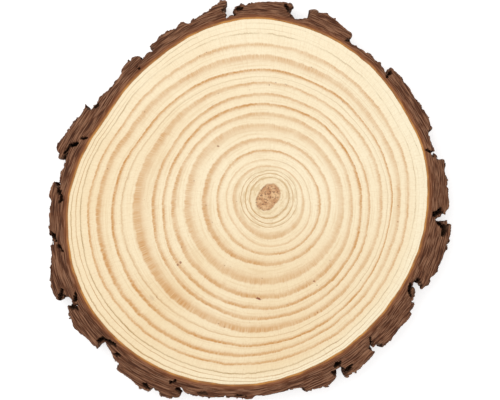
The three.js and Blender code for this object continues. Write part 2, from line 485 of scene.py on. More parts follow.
def layer_ridges(points, out):
    """The bark's thin layers, which run round the stem and weather out of the sawn face."""
    spokes = points[:, :2] - PITH
    degrees = np.radians(compass(spokes))
    bend = 1.4 * wander(points, (11, 11, 11), 31)
    grain = np.column_stack((np.sin(degrees) * 16, np.cos(degrees) * 16, (out + bend) / 1.25))
    coarse = np.column_stack((np.sin(degrees) * 9, np.cos(degrees) * 9, (out + bend) / 3.0))
    height = 0.26 * wander(grain, 1, 32) + 0.22 * wander(coarse, 1, 33)
    return height * smooth_step(out, 0.2, 2.4)


def bark_outline():
    """The bark's outer edge, with the small raggedness of broken layers."""
    loop = closed_curve(BARK_LOOP, OUTLINE_STEP)
    places = with_height(loop, 0)
    stray = 0.24 * wander(places, 1.4, 41) + 0.26 * wander(places, 4.2, 42)
    stray -= 0.6 * smooth_step(wander(places, 2.1, 43), 0.35, 0.6)
    return loop + outward_normals(loop) * stray[:, None]


def painted_rim_shade(places):
    """Painted shade in patches along the broken edge of the sawn bark's rim: how dark it is there."""
    return 0.5 * smooth_step(wander(places, 5.0, 71) + 0.5 * wander(places, 1.5, 72), -0.15, 0.45)


def wall_relief(points):
    """How far the outer bark stands proud of its outline: scaly plates between upright cracks."""
    flakes = wander(points, (6.5, 6.5, 9.0), 51) + 0.4 * wander(points, (2.6, 2.6, 4.0), 52)
    steps = flakes * 4.2
    level = np.floor(steps)
    terraces = (level + smooth_step(steps - level, 0.0, 0.28)) / 4.2
    cracks = np.abs(wander(points, (6.0, 6.0, 26.0), 53) + 0.15 * wander(points, 3.0, 54))
    fissure = 1 - smooth_step(cracks, 0.0, 0.11)
    fine = wander(points, (1.1, 1.1, 1.9), 55)
    return 1.25 * terraces - 1.1 * fissure + 0.22 * fine


def inside_loop(points, loop):
    """Which points lie inside a closed loop."""
    inside = np.zeros(len(points), bool)
    for a, b in zip(loop, np.roll(loop, -1, 0)):
        if a[1] == b[1]:
            continue
        crosses = (a[1] > points[:, 1]) != (b[1] > points[:, 1])
        at = a[0] + (points[:, 1] - a[1]) * (b[0] - a[0]) / (b[1] - a[1])
        inside ^= crosses & (points[:, 0] < at)
    return inside


def crossings(loop):
    """Pairs of a closed loop's segments that cross each other."""
    ahead = np.roll(loop, -1, 0)
    step = ahead - loop

    def side_of(points):
        away = points[None, :, :] - loop[:, None, :]
        return step[:, None, 0] * away[..., 1] - step[:, None, 1] * away[..., 0]

    parted = side_of(loop) * side_of(ahead) < 0
    return [(i, j) for i, j in np.argwhere(parted & parted.T) if i < j]


def uncrossed(base, moved):
    """The moved loop, drawn back towards the base one wherever it crosses itself."""
    moved = moved.copy()
    count = len(base)
    widest_knot = 40  # segments further apart are drawn back without what lies between them
    for _ in range(20):
        pairs = crossings(moved)
        if not pairs:
            break
        drawn = set()
        for i, j in pairs:
            first, last = (i, j) if j - i < count / 2 else (j, i + count)
            if last - first > widest_knot:
                drawn.update(range(first - 2, first + 4))
                first = last
            drawn.update(range(first - 2, last + 4))
        drawn = [i % count for i in drawn]
        moved[drawn] = (moved[drawn] + base[drawn]) / 2
    return moved


def bark_field(outline, radial_step, along_step, clear):
    """Points over the bark between the wood and an outline, in rows that follow the wood."""
    rng = np.random.default_rng(7)
    tree = kdtree.KDTree(len(outline))
    for i, p in enumerate(outline):
        tree.insert((p[0], p[1], 0), i)
    tree.balance()
    rows = []
    for row, out in enumerate(np.arange(radial_step * 0.7, BARK_REACH, radial_step)):
        count = round(2 * math.pi * (MEAN_RADIUS + out) / along_step)
        degrees = -360 * (np.arange(count) + 0.5 * (row % 2)) / count
        edge = np.interp(degrees % 360, (COLUMN_DEGREES % 360)[::-1], EDGE[::-1], period=360)
        jitter = rng.uniform(-0.22, 0.22, (count, 2)) * radial_step
        rows.append(PITH + direction(degrees) * (edge + out)[:, None] + jitter)
    points = np.concatenate(rows)
    points = points[inside_loop(points, outline)]
    from_edge = np.array([tree.find((p[0], p[1], 0))[2] for p in points])
    return points[from_edge > clear], from_edge[from_edge > clear]


def sawn_bark_face(skin, region, outer, inner, field, shape, to_map):
    """One sawn face of the bark, from its two rims and the points between them.

    A rim is a row of point numbers and their flat places.
    """
    places, from_edge = field
    values, heights = shape(places, from_edge)
    between = (skin.add(with_height(places, heights), values), places)
    for row, flat in (between, outer, inner):
        skin.map(region, row, to_map(flat))
    every = outer[0] + inner[0] + between[0]
    flat = np.concatenate((outer[1], inner[1], places))
    rims = []
    for first, count in ((0, len(outer[0])), (len(outer[0]), len(inner[0]))):
        rims += [(first + i, first + (i + 1) % count) for i in range(count)]
    made, _, faces, origins, _, _ = delaunay_2d_cdt([Vector(p) for p in flat], rims, [], 0, 1e-6)
    if len(made) != len(flat):
        raise ValueError(f"the {region} outline of the bark crosses itself")
    middles = np.array([np.mean([made[i] for i in face], axis=0) for face in faces])
    kept = inside_loop(middles, outer[1]) & ~inside_loop(middles, inner[1])
    for face, keep in zip(faces, kept):
        if keep:
            corners = [every[origins[i][0]] for i in face]
            skin.face(region, *(corners if region == "upper" else corners[::-1]))


def upper_bark_shape(field, from_edge):
    """What the material reads, and the heights, of points on the bark's upper sawn face."""
    places = with_height(field, THICKNESS)
    out = out_from_wood(field)
    sink = cleft_sink(places)
    heights = THICKNESS + layer_ridges(places, out) - np.minimum(sink, THICKNESS - LEAST_FLOOR)
    # Painted shade: the clefts, and patches close to the broken outer rim, are marked for the material to
    # darken
    rim_shade_near_edge = (1 - smooth_step(from_edge, 0.2, 1.6)) * painted_rim_shade(places)
    sunk = np.maximum(smooth_step(sink, 0.3, 3.0), rim_shade_near_edge)
    values = np.column_stack((out, sunk, np.zeros(len(field))))
    return values, np.minimum(heights, THICKNESS + RIDGE_LIMIT)


def lower_bark_shape(field, _):
    """The same for the underside, where the clefts are shallower."""
    places = with_height(field, 0)
    out = out_from_wood(field)
    sink = cleft_sink(places, 0.3)
    heights = np.abs(layer_ridges(places, out)) * 0.6 + sink
    # Painted shade in the clefts of the underside, stronger where they are deeper
    values = np.column_stack((out, smooth_step(sink, 0.3, 2.0), np.zeros(len(field))))
    return values, heights


def outer_wall(skin, outline):
    """The bark's outer wall, in rows from the upper rim down, each with its flat places."""
    normals = outward_normals(outline)
    rim_places = with_height(outline, THICKNESS)
    steps = np.linalg.norm(np.roll(outline, -1, 0) - outline, axis=1)
    shares = np.concatenate(([0], np.cumsum(steps)[:-1])) / steps.sum()
    chips = np.clip(0.5 + 0.55 * wander(rim_places, 2.4, 61), 0.05, 1.2)
    upper_z = THICKNESS - np.minimum(cleft_sink(rim_places) + chips, THICKNESS - LEAST_FLOOR)
    lower_z = np.clip(0.25 + 0.4 * wander(rim_places, 2.8, 62), 0, 0.9)
    worn = (np.roll(outline, 7, 0) + np.roll(outline, -7, 0)) / 2
    top_relief = wall_relief(with_height(outline, upper_z))
    out = out_from_wood(outline)
    room = np.clip(out - 1.2, 0.1, 2.2)
    wall = []
    for row in range(WALL_ROWS + 1):
        share = row / WALL_ROWS
        height = upper_z + (lower_z - upper_z) * share
        wear = 0.45 * smooth_step(share, 0.4, 1.0)
        flat = outline + (worn - outline) * wear
        if row:
            relief = wall_relief(with_height(flat, height)) - top_relief * (1 - 0.5 * share)
            # Painted shade: the low places of the wall's relief are darkened the deeper they lie
            sunk = smooth_step(-relief, 0.4, 1.8)
        else:
            relief = np.zeros(len(outline))
            # Painted shade in patches along the broken upper rim of the wall
            sunk = painted_rim_shade(rim_places)
        flat = flat + normals * np.clip(relief, -room, 1.6)[:, None]
        if row == WALL_ROWS:
            flat = uncrossed(outline, flat)
        side = np.full(len(outline), 1.0 if row else 0.0)
        numbers = skin.add(with_height(flat, height), np.column_stack((out, sunk, side)))
        skin.map("wall", numbers, ring_map((0.5, 0.5), 0.38 - 0.08 * share, shares))
        if wall:
            skin.band("wall", numbers, wall[-1][0])
        wall.append((numbers, flat))
    return wall


def inner_wall(skin, ring):
    """The bark's inner wall, against the wood, in rows from the upper rim down."""
    shares = np.arange(COLUMNS) / COLUMNS
    rows = []
    for step in range(INNER_ROWS + 1):
        height = THICKNESS * (1 - step / INNER_ROWS)
        row = skin.add(with_height(ring, height), np.zeros((COLUMNS, 3)))
        skin.map("inner", row, ring_map((0.5, 0.5), 0.225 - 0.004 * step, shares))
        if rows:
            skin.band("inner", rows[-1], row)
        rows.append(row)
    return rows


def rough_bark():
    skin = Skin()
    outline = bark_outline()
    ring = PITH + direction(COLUMN_DEGREES) * (EDGE + INNER_GAP)[:, None]
    wall = outer_wall(skin, outline)
    inner = inner_wall(skin, ring)
    upper_field = bark_field(outline, 0.62, 0.95, 0.36)
    upper_map = flat_map(251, 0.99, (0.5, 0.5))
    sawn_bark_face(
        skin, "upper", wall[0], (inner[0], ring), upper_field, upper_bark_shape, upper_map
    )
    lower_field = bark_field(wall[-1][1], 1.1, 1.7, 0.5)
    lower_map = flat_map(251, 0.57, (0.5, 0.5))
    sawn_bark_face(
        skin, "lower", wall[-1], (inner[-1], ring), lower_field, lower_bark_shape, lower_map
    )
    return skin.build("rough_bark", "bark", bark_material(), 50)


# ---------------------------------------------------------------- node trees


def tint(red, green, blue):
    """A colour from its 0 to 255 values as seen on a screen, for a shader socket."""
    channels = []
    for value in (red, green, blue):
        share = value / 255
        channels.append(share / 12.92 if share < 0.04045 else ((share + 0.055) / 1.055) ** 2.4)
    return (*channels, 1.0)


class Nodes:
    """Short calls that add and join the nodes of one tree."""

    def __init__(self, tree):
        self.tree = tree

    def join(self, socket, value):
        if isinstance(value, bpy.types.NodeSocket):
            self.tree.links.new(value, socket)
        else:
            socket.default_value = value

    def add(self, kind, inputs=None, **settings):
        node = self.tree.nodes.new(kind)
        for name, value in settings.items():
            setattr(node, name, value)
        for name, value in (inputs or {}).items():
            self.join(node.inputs[name], value)
        return node

    def maths(self, operation, a, b=0.0, clamp=False):
        inputs = {0: a, 1: b}
        return self.add("ShaderNodeMath", inputs, operation=operation, use_clamp=clamp).outputs[0]

    def plus(self, a, b):
        return self.maths("ADD", a, b)

    def minus(self, a, b):
        return self.maths("SUBTRACT", a, b)

    def times(self, a, b):
        return self.maths("MULTIPLY", a, b)

    def vector(self, operation, a, b):
        return self.add("ShaderNodeVectorMath", {0: a, 1: b}, operation=operation).outputs[0]

    def scaled(self, vector, factor):
        inputs = {0: vector, "Scale": factor}
        return self.add("ShaderNodeVectorMath", inputs, operation="SCALE").outputs[0]

    def length(self, vector):
        node = self.add("ShaderNodeVectorMath", {0: vector}, operation="LENGTH")
        return node.outputs["Value"]

    def split(self, vector):
        return self.add("ShaderNodeSeparateXYZ", {0: vector}).outputs

    def combine(self, x, y, z):
        return self.add("ShaderNodeCombineXYZ", {0: x, 1: y, 2: z}).outputs[0]

    def between(self, value, low, high, to_low=0.0, to_high=1.0):
        """A value mapped smoothly from one span to another."""
        spans = {"Value": value, "From Min": low, "From Max": high, "To Min": to_low, "To Max": to_high}
        return self.add("ShaderNodeMapRange", spans, interpolation_type="SMOOTHSTEP").outputs[0]

    def blend(self, factor, a, b):
        """Two colours mixed."""
        return self.add("ShaderNodeMix", {0: factor, 6: a, 7: b}, data_type="RGBA").outputs[2]

    def noise(self, vector, scale, detail=2.0, rough=0.5):
        inputs = {"Vector": vector, "Scale": scale, "Detail": detail, "Roughness": rough}
        return self.add("ShaderNodeTexNoise", inputs).outputs[0]

    def filled(self, group, inputs):
        node = self.add("ShaderNodeGroup", node_tree=group)
        for name, value in inputs.items():
            self.join(node.inputs[name], value)
        return node.outputs[0]

    def streaks(self, where, distance, around, across, detail=3.0):
        return self.filled(STREAKS, {
            "Vector": where, "Distance": distance, "Around": around, "Across": across, "Detail": detail,
        })

    def grain(self, where, size, upright=1.0, detail=3.0):
        inputs = {"Vector": where, "Size": size, "Upright": upright, "Detail": detail}
        return self.filled(GRAIN, inputs)


def new_tree(kind, name, inputs, output):
    """An empty node tree with named inputs and one output; gives it, its Nodes and its ends."""
    tree = bpy.data.node_groups.new(name, kind)
    for label, socket_kind, value in inputs:
        socket = tree.interface.new_socket(label, in_out="INPUT", socket_type=socket_kind)
        if value is not None:
            socket.default_value = value
    label, socket_kind = output
    tree.interface.new_socket(label, in_out="OUTPUT", socket_type=socket_kind)
    nodes = Nodes(tree)
    start = nodes.add("NodeGroupInput").outputs
    end = nodes.add("NodeGroupOutput").inputs[0]
    return tree, nodes, start, end


# ---------------------------------------------------------------- loose flakes on the bark


def flake_shape(nodes, thickness):
    """One flake, a millimetre-thick leaf with round thin edges, 1 long and 1 wide."""
    block = nodes.add("GeometryNodeMeshCube", {"Size": (1, 1, 1), "Vertices X": 4, "Vertices Y": 5})
    x, y, z = nodes.split(nodes.add("GeometryNodeInputPosition").outputs[0])

    def narrowed(a, b):
        square = nodes.times(nodes.times(b, b), 2.0)
        return nodes.times(a, nodes.maths("SQRT", nodes.minus(1.0, square)))

    reach = nodes.plus(nodes.times(x, x), nodes.times(y, y))
    thin = nodes.between(reach, 0.08, 0.34, 1.0, 0.25)
    sunk = nodes.minus(nodes.times(z, thin), FLAKE_SUNK)
    place = nodes.combine(narrowed(x, y), narrowed(y, x), nodes.times(sunk, thickness))
    shaped = {"Geometry": block.outputs[0], "Position": place}
    return nodes.add("GeometryNodeSetPosition", shaped).outputs[0]


def points_on_wall(nodes, start):
    """Points scattered over the outer wall, 2 mm or more from the two sawn faces."""
    marks = nodes.add("GeometryNodeInputNamedAttribute", {"Name": "bark"}, data_type="FLOAT_VECTOR")
    side = nodes.split(marks.outputs[0])[2]
    z = nodes.split(nodes.add("GeometryNodeInputPosition").outputs[0])[2]
    on_wall = nodes.maths("GREATER_THAN", side, 0.9)
    above = nodes.maths("GREATER_THAN", z, 0.002)
    below = nodes.maths("LESS_THAN", z, nodes.minus(start["Top"], 0.0025))
    return nodes.add("GeometryNodeDistributePointsOnFaces", {
        "Mesh": start["Geometry"],
        "Selection": nodes.times(on_wall, nodes.times(above, below)),
        "Density": start["Density"],
        "Seed": start["Seed"],
    })


def scattered_flakes(nodes, start):
    """A flake at every point, flat on the wall and upright, a little turned and tilted."""

    def chance(low, high, offset):
        inputs = {0: low, 1: high, "Seed": nodes.plus(start["Seed"], offset)}
        return nodes.add("FunctionNodeRandomValue", inputs, data_type="FLOAT_VECTOR").outputs[0]

    points = points_on_wall(nodes, start)
    facing = nodes.add(
        "FunctionNodeAlignRotationToVector", {"Vector": points.outputs["Normal"]}, axis="Z"
    )
    upright = nodes.add(
        "FunctionNodeAlignRotationToVector", {"Rotation": facing.outputs[0], "Vector": (0, 0, 1)},
        axis="Y", pivot_axis="Z",
    )
    turn = chance((-0.1, -0.06, -0.35), (0.06, 0.06, 0.35), 1)
    turned = nodes.add(
        "FunctionNodeRotateRotation", {"Rotation": upright.outputs[0], "Rotate By": turn},
        rotation_space="LOCAL",
    )
    size = nodes.combine(start["Flake Width"], start["Flake Length"], 1.0)
    flakes = nodes.add("GeometryNodeInstanceOnPoints", {
        "Points": points.outputs[0],
        "Instance": flake_shape(nodes, start["Thickness"]),
        "Rotation": turned.outputs[0],
        "Scale": nodes.vector("MULTIPLY", size, chance((0.5, 0.45, 0.6), (1.5, 1.6, 1.3), 2)),
    })
    tone = nodes.add("FunctionNodeRandomValue", {
        2: 0.0, 3: 1.0, "Seed": nodes.plus(start["Seed"], 3),
    }, data_type="FLOAT")
    return nodes.add("GeometryNodeStoreNamedAttribute", {
        "Geometry": flakes.outputs[0], "Name": "tone", "Value": tone.outputs[1],
    }, data_type="FLOAT", domain="INSTANCE")


def held_to_wall(nodes, start):
    """Where a flake's points go: ragged, close to the wall and clear of the sawn faces."""
    here = nodes.add("GeometryNodeInputPosition").outputs[0]
    rough = nodes.add("ShaderNodeTexNoise", {"Vector": here, "Scale": 420.0, "Detail": 2.0})
    centred = nodes.vector("SUBTRACT", rough.outputs["Color"], (0.5, 0.5, 0.5))
    stray = nodes.scaled(centred, start["Raggedness"])
    moved = nodes.vector("ADD", here, nodes.vector("MULTIPLY", stray, (2, 2, 2)))
    wall = nodes.add("GeometryNodeProximity", {0: start["Geometry"], "Source Position": moved})
    distance = nodes.maths("MAXIMUM", wall.outputs["Distance"], 1e-6)
    off = nodes.maths("DIVIDE", start["Overhang"], distance)
    away = nodes.vector("SUBTRACT", moved, wall.outputs["Position"])
    held = nodes.scaled(away, nodes.maths("MINIMUM", off, 1.0))
    x, y, z = nodes.split(nodes.vector("ADD", wall.outputs["Position"], held))
    kept = nodes.maths("MINIMUM", nodes.maths("MAXIMUM", z, 0.0002), start["Top"])
    return nodes.combine(x, y, kept)


def flakes_tree():
    """Scatters flakes over the outer wall of the bark, lying along it and upright."""
    tree, nodes, start, end = new_tree("GeometryNodeTree", "bark_flakes", (
        ("Geometry", "NodeSocketGeometry", None),
        ("Density", "NodeSocketFloat", 30000.0),
        ("Seed", "NodeSocketInt", 5),
        ("Flake Length", "NodeSocketFloat", 0.0075),
        ("Flake Width", "NodeSocketFloat", 0.0035),
        ("Thickness", "NodeSocketFloat", 0.0012),
        ("Raggedness", "NodeSocketFloat", 0.0009),
        ("Overhang", "NodeSocketFloat", 0.0006),
        ("Top", "NodeSocketFloat", 0.02),
        ("Material", "NodeSocketMaterial", None),
    ), ("Geometry", "NodeSocketGeometry"))
    flakes = scattered_flakes(nodes, start)
    real = nodes.add("GeometryNodeRealizeInstances", {"Geometry": flakes.outputs[0]})
    placed = nodes.add("GeometryNodeSetPosition", {
        "Geometry": real.outputs[0], "Position": held_to_wall(nodes, start),
    })
    finished = nodes.add("GeometryNodeSetMaterial", {
        "Geometry": placed.outputs[0], "Material": start["Material"],
    })
    nodes.join(end, finished.outputs[0])
    return tree


def loose_flakes(carrier):
    """The flakes as a piece of their own, grown on the bark's outer wall."""
    tree = flakes_tree()
    grown = bpy.data.objects.new("bark_flakes", carrier.data.copy())
    bpy.context.scene.collection.objects.link(grown)
    modifier = grown.modifiers.new("flakes", "NODES")
    modifier.node_group = tree
    inputs = [item for item in tree.interface.items_tree if item.in_out == "INPUT"]
    sockets = {item.name: item.identifier for item in inputs}
    material = flake_material()
    modifier[sockets["Density"]] = FLAKES_PER_SQUARE_METRE
    modifier[sockets["Seed"]] = 5
    modifier[sockets["Top"]] = (THICKNESS - FLAKES_BELOW_TOP) * MM
    modifier[sockets["Material"]] = material
    evaluated = grown.evaluated_get(bpy.context.evaluated_depsgraph_get())
    mesh = bpy.data.meshes.new_from_object(evaluated)
    grown.modifiers.remove(modifier)
    grown.data = mesh
    mesh.materials.clear()
    mesh.materials.append(material)
    mesh.polygons.foreach_set("material_index", [0] * len(mesh.polygons))
    mesh.shade_smooth()
    mesh.set_sharp_from_angle(angle=math.radians(50))
    return grown


# ---------------------------------------------------------------- what the materials share


def shader_group(name, inputs):
    """An empty shader node group that gives one value."""
    sockets = (("Vector", "NodeSocketVector", None), *inputs)
    return new_tree("ShaderNodeTree", name, sockets, ("Value", "NodeSocketFloat"))


def streaks_group():
    """Streaks that run round the stem: long one way, thin across, following a distance."""
    tree, nodes, start, end = shader_group("round_streaks", (
        ("Distance", "NodeSocketFloat", 0.0),
        ("Around", "NodeSocketFloat", 15.0),
        ("Across", "NodeSocketFloat", 1.0),
        ("Detail", "NodeSocketFloat", 3.0),
    ))
    centred = nodes.vector("SUBTRACT", start["Vector"], (PITH[0] * MM, PITH[1] * MM, 0))
    flat = nodes.vector("MULTIPLY", centred, (1, 1, 0))
    spoke = nodes.vector("NORMALIZE", flat, (0, 0, 0))
    x, y, _ = nodes.split(nodes.scaled(spoke, start["Around"]))
    place = nodes.combine(x, y, nodes.times(start["Distance"], start["Across"]))
    nodes.join(end, nodes.noise(place, 1.0, start["Detail"], 0.6))
    return tree


def fine_grain_group():
    """A small even mottle, from 0 to 1, for tone and for bump."""
    tree, nodes, start, end = shader_group("fine_grain", (
        ("Size", "NodeSocketFloat", 0.001),
        ("Upright", "NodeSocketFloat", 1.0),
        ("Detail", "NodeSocketFloat", 3.0),
    ))
    x, y, z = nodes.split(start["Vector"])
    place = nodes.combine(x, y, nodes.maths("DIVIDE", z, start["Upright"]))
    scale = nodes.maths("DIVIDE", 1.0, start["Size"])
    nodes.join(end, nodes.noise(place, scale, start["Detail"], 0.6))
    return tree


def saw_marks_group():
    """Shallow arcs left by the saw, about a centre far outside the slice."""
    tree, nodes, start, end = shader_group("saw_marks", (
        ("Pitch", "NodeSocketFloat", 0.004),
    ))
    away = nodes.vector("SUBTRACT", start["Vector"], (-0.45, 0.33, 0))
    length = nodes.length(nodes.vector("MULTIPLY", away, (1, 1, 0)))
    stray = nodes.times(nodes.noise(start["Vector"], 30.0), 0.002)
    turns = nodes.maths("DIVIDE", nodes.plus(length, stray), start["Pitch"])
    nodes.join(end, nodes.maths("SINE", nodes.times(turns, 2 * math.pi)))
    return tree


def fleck_group():
    """One long or round fleck, lying flat, at a place on the slice."""
    tree, nodes, start, end = shader_group("fleck", (
        ("Place", "NodeSocketVector", None),
        ("Length", "NodeSocketFloat", 0.002),
        ("Width", "NodeSocketFloat", 0.001),
        ("Turn", "NodeSocketFloat", 0.0),
    ))
    centred = nodes.vector("SUBTRACT", start["Vector"], start["Place"])
    turned = nodes.add("ShaderNodeVectorRotate", {"Vector": centred, "Angle": start["Turn"]})
    x, y, _ = nodes.split(turned.outputs[0])
    along = nodes.maths("DIVIDE", x, start["Length"])
    across = nodes.maths("DIVIDE", y, start["Width"])
    reach = nodes.length(nodes.combine(along, across, 0.0))
    ragged = nodes.between(nodes.noise(start["Vector"], 1400.0), 0.3, 0.7, -0.15, 0.15)
    nodes.join(end, nodes.between(nodes.plus(reach, ragged), 0.6, 0.3))
    return tree


STREAKS = streaks_group()
GRAIN = fine_grain_group()
SAW_MARKS = saw_marks_group()
FLECK = fleck_group()


def new_material(name):
    material = bpy.data.materials.new(name)
    material.use_nodes = True
    nodes = Nodes(material.node_tree)
    shader = material.node_tree.nodes["Principled BSDF"]
    where = nodes.add("ShaderNodeTexCoord").outputs["Object"]
    return material, nodes, shader, where


def fill_shader(nodes, shader, colour, roughness, specular, bump):
    """Joins a shader's inputs; bump is the height, its strength and its depth in metres."""
    height, strength, depth = bump
    relief = nodes.add("ShaderNodeBump", {"Height": height, "Strength": strength, "Distance": depth})
    nodes.join(shader.inputs["Base Color"], colour)
    nodes.join(shader.inputs["Roughness"], roughness)
    nodes.join(shader.inputs["Normal"], relief.outputs[0])
    shader.inputs["Specular IOR Level"].default_value = specular


# ---------------------------------------------------------------- the wood's material

EARLY_PALE = tint(254, 239, 206)
EARLY_TAN = tint(242, 217, 174)
EARLY_NEW = tint(255, 243, 212)
LATE_THIN = tint(168, 138, 90)
LATE_BROAD = tint(205, 147, 83)


def latewood_shape(nodes, strayed, begins, width, rays):
    """Across each ring: a faint ramp, then a ragged dark band, then a firm outer edge."""
    share = nodes.maths("FRACT", strayed)
    narrow = nodes.maths("MINIMUM", width, 0.35)
    fray = nodes.times(narrow, nodes.between(rays, 0.35, 0.65, -0.34, 0.06))
    inside = nodes.plus(begins, fray)
    soft = nodes.minus(inside, nodes.times(width, 0.4))
    settled = nodes.plus(inside, nodes.times(width, 0.6))
    ramp = nodes.between(share, soft, inside, 0.0, 0.16)
    band = nodes.plus(ramp, nodes.between(share, inside, settled, 0.0, 0.84))
    return nodes.times(band, nodes.between(share, 1.0, 0.86))


def latewood_strength(nodes, where, age, dark, width, rays, lean):
    """Varies in patches, with the rays and from side to side; the newest rings come and go."""
    patches = nodes.streaks(where, age, 4.5, 0.9, 1.0)
    strength = nodes.times(dark, nodes.between(patches, 0.25, 0.75, 1.0, 1.6))
    strength = nodes.times(strength, nodes.between(width, 0.35, 0.6, 1.12, 0.86))
    strength = nodes.times(strength, nodes.between(rays, 0.35, 0.65, 0.72, 1.28))
    strength = nodes.times(strength, nodes.between(lean, -0.5, 0.5, 0.87, 1.05))
    gaps = nodes.streaks(where, age, 5.0, 2.3, 2.0)
    newest = nodes.between(age, 16.5, 17.5)
    faded = nodes.times(nodes.between(gaps, 0.42, 0.58, 0.1, 0.75), newest)
    faded = nodes.times(faded, nodes.between(lean, 0.3, -0.3, 0.45, 1.0))
    return nodes.times(strength, nodes.minus(1.0, faded))


def earlywood(nodes, where, age, lean):
    """Pale wood, a little browner to the south-west, and brighter where it is newest."""
    x, y, _ = nodes.split(where)
    cloud = nodes.plus(lean, nodes.between(nodes.noise(where, 14.0), 0.3, 0.7, -0.3, 0.3))
    early = nodes.blend(nodes.between(cloud, -0.5, 1.0), EARLY_PALE, EARLY_TAN)
    bright_side = nodes.between(nodes.plus(x, nodes.times(y, -0.6)), -0.02, 0.1, 0.1, 0.75)
    newest = nodes.times(nodes.between(age, 17.0, 19.5), bright_side)
    return nodes.blend(newest, early, EARLY_NEW)


def with_faint_lines(nodes, where, age, colour):
    """Faint lines between the rings, closer near the pith, and a duller zone round it."""
    lines = nodes.between(nodes.streaks(where, age, 2.2, 7.0), 0.5, 0.62, 0.0, 0.22)
    faint = nodes.times(lines, nodes.between(age, 17.5, 16.5, 0.3))
    colour = nodes.blend(faint, colour, tint(216, 176, 122))
    lines = nodes.between(nodes.streaks(where, age, 2.6, 3.2), 0.48, 0.6)
    inmost = nodes.times(lines, nodes.between(age, 5.5, 3.5, 0.0, 0.42))
    colour = nodes.blend(inmost, colour, tint(206, 170, 116))
    return nodes.blend(nodes.between(age, 2.6, 1.2, 0.0, 0.2), colour, tint(228, 198, 146))


def with_small_marks(nodes, where, late, fine, pores, colour):
    """Fine rays, pores, the dots where resin ducts show, and the separate flecks."""
    colour = nodes.blend(nodes.between(fine, 0.45, 0.7, 0.0, 0.16), colour, tint(206, 160, 108))
    colour = nodes.blend(nodes.between(pores, 0.35, 0.65, 0.10, 0.0), colour, tint(205, 160, 104))
    cells = nodes.add("ShaderNodeTexVoronoi", {"Vector": where, "Scale": 260.0})
    chosen = nodes.maths("GREATER_THAN", nodes.split(cells.outputs["Color"])[0], 0.86)
    dot = nodes.times(chosen, nodes.between(cells.outputs["Distance"], 0.16, 0.06))
    dot = nodes.times(dot, nodes.between(late, 0.0, 0.4, 0.15, 0.6))
    colour = nodes.blend(dot, colour, tint(150, 92, 56))
    for place, length, width, degrees, depth in FLECKS:
        mask = nodes.filled(FLECK, {
            "Vector": where,
            "Place": (place[0] * MM, place[1] * MM, 0),
            "Length": length * MM,
            "Width": width * MM,
            "Turn": math.radians(degrees),
        })
        colour = nodes.blend(nodes.times(mask, depth), colour, tint(138, 70, 42))
    return colour


def with_pith(nodes, where, strayed, colour):
    """The pith: darker, with a mottle and small holes of its own."""
    mottle = nodes.grain(where, 0.0045)
    pith = nodes.blend(nodes.between(mottle, 0.38, 0.62), tint(194, 142, 98), tint(230, 188, 140))
    pith = nodes.blend(nodes.between(strayed, 0.78, 0.94, 0.0, 0.4), pith, tint(166, 108, 72))
    holes = nodes.grain(where, 0.0011, detail=2.0)
    pith = nodes.blend(nodes.between(holes, 0.46, 0.38, 0.0, 0.8), pith, tint(112, 66, 42))
    in_pith = nodes.between(strayed, 1.02, 0.86)
    return nodes.blend(nodes.times(in_pith, 0.95), colour, pith)


def wood_material():
    material, nodes, shader, where = new_material("sawn_conifer")
    ring = nodes.add("ShaderNodeAttribute", attribute_name="ring").outputs["Vector"]
    age, begins, dark = nodes.split(ring)
    x, y, _ = nodes.split(where)
    lean = nodes.times(nodes.plus(x, y), -4.0)  # rises to the south-west
    width = nodes.minus(1.0, begins)
    rays = nodes.streaks(where, age, 120.0, 0.25)
    wavy = nodes.streaks(where, age, 26.0, 0.6)
    strayed = nodes.plus(age, nodes.between(wavy, 0.3, 0.7, -0.04, 0.04))

    # Thin late lines are greyer than broad ones
    late = latewood_shape(nodes, strayed, begins, width, rays)
    strength = latewood_strength(nodes, where, age, dark, width, rays, lean)
    late = nodes.maths("MULTIPLY", late, strength, clamp=True)
    late_colour = nodes.blend(nodes.between(width, 0.18, 0.32), LATE_THIN, LATE_BROAD)
    colour = nodes.blend(late, earlywood(nodes, where, age, lean), late_colour)

    fine = nodes.streaks(where, age, 210.0, 0.5)
    pores = nodes.grain(where, 0.0013)
    colour = with_faint_lines(nodes, where, age, colour)
    colour = with_small_marks(nodes, where, late, fine, pores, colour)
    colour = with_pith(nodes, where, strayed, colour)

    relief = nodes.plus(nodes.times(fine, 0.5), pores)
    relief = nodes.plus(relief, nodes.times(rays, 0.4))
    arcs = nodes.filled(SAW_MARKS, {"Vector": where, "Pitch": 0.0045})
    relief = nodes.plus(relief, nodes.times(arcs, 0.12))
    roughness = nodes.between(late, 0.0, 0.7, 0.7, 0.58)
    fill_shader(nodes, shader, colour, roughness, 0.25, (relief, 0.3, 0.0002))
    return material


# ---------------------------------------------------------------- the bark's materials


def sawn_bark_colour(nodes, where, out, thin, layer):
    """Thin brown layers, redder inner bark, and the ochre line where it meets the wood."""
    broad = nodes.streaks(where, layer, 7.0, 0.6)
    hair = nodes.streaks(where, layer, 12.0, 2.3, 1.0)
    brown = nodes.blend(nodes.between(broad, 0.44, 0.56), tint(93, 54, 34), tint(103, 62, 40))
    brown = nodes.blend(nodes.between(thin, 0.52, 0.57, 0.0, 0.5), brown, tint(148, 104, 76))
    brown = nodes.blend(nodes.between(thin, 0.48, 0.42, 0.0, 0.55), brown, tint(70, 40, 26))
    brown = nodes.blend(nodes.between(hair, 0.53, 0.57, 0.0, 0.5), brown, tint(166, 124, 96))
    brown = nodes.blend(nodes.between(hair, 0.47, 0.42, 0.0, 0.7), brown, tint(64, 37, 25))
    inner = nodes.between(nodes.plus(out, nodes.times(broad, 3.0)), 5.6, 2.8)
    brown = nodes.blend(nodes.times(inner, 0.5), brown, tint(150, 90, 55))
    ochre = nodes.between(nodes.plus(out, nodes.times(thin, 1.8)), 2.6, 1.3)
    patchy = nodes.between(nodes.noise(where, 80.0, 3.0), 0.4, 0.6, 0.4, 0.95)
    return nodes.blend(nodes.times(ochre, patchy), brown, tint(206, 144, 76))


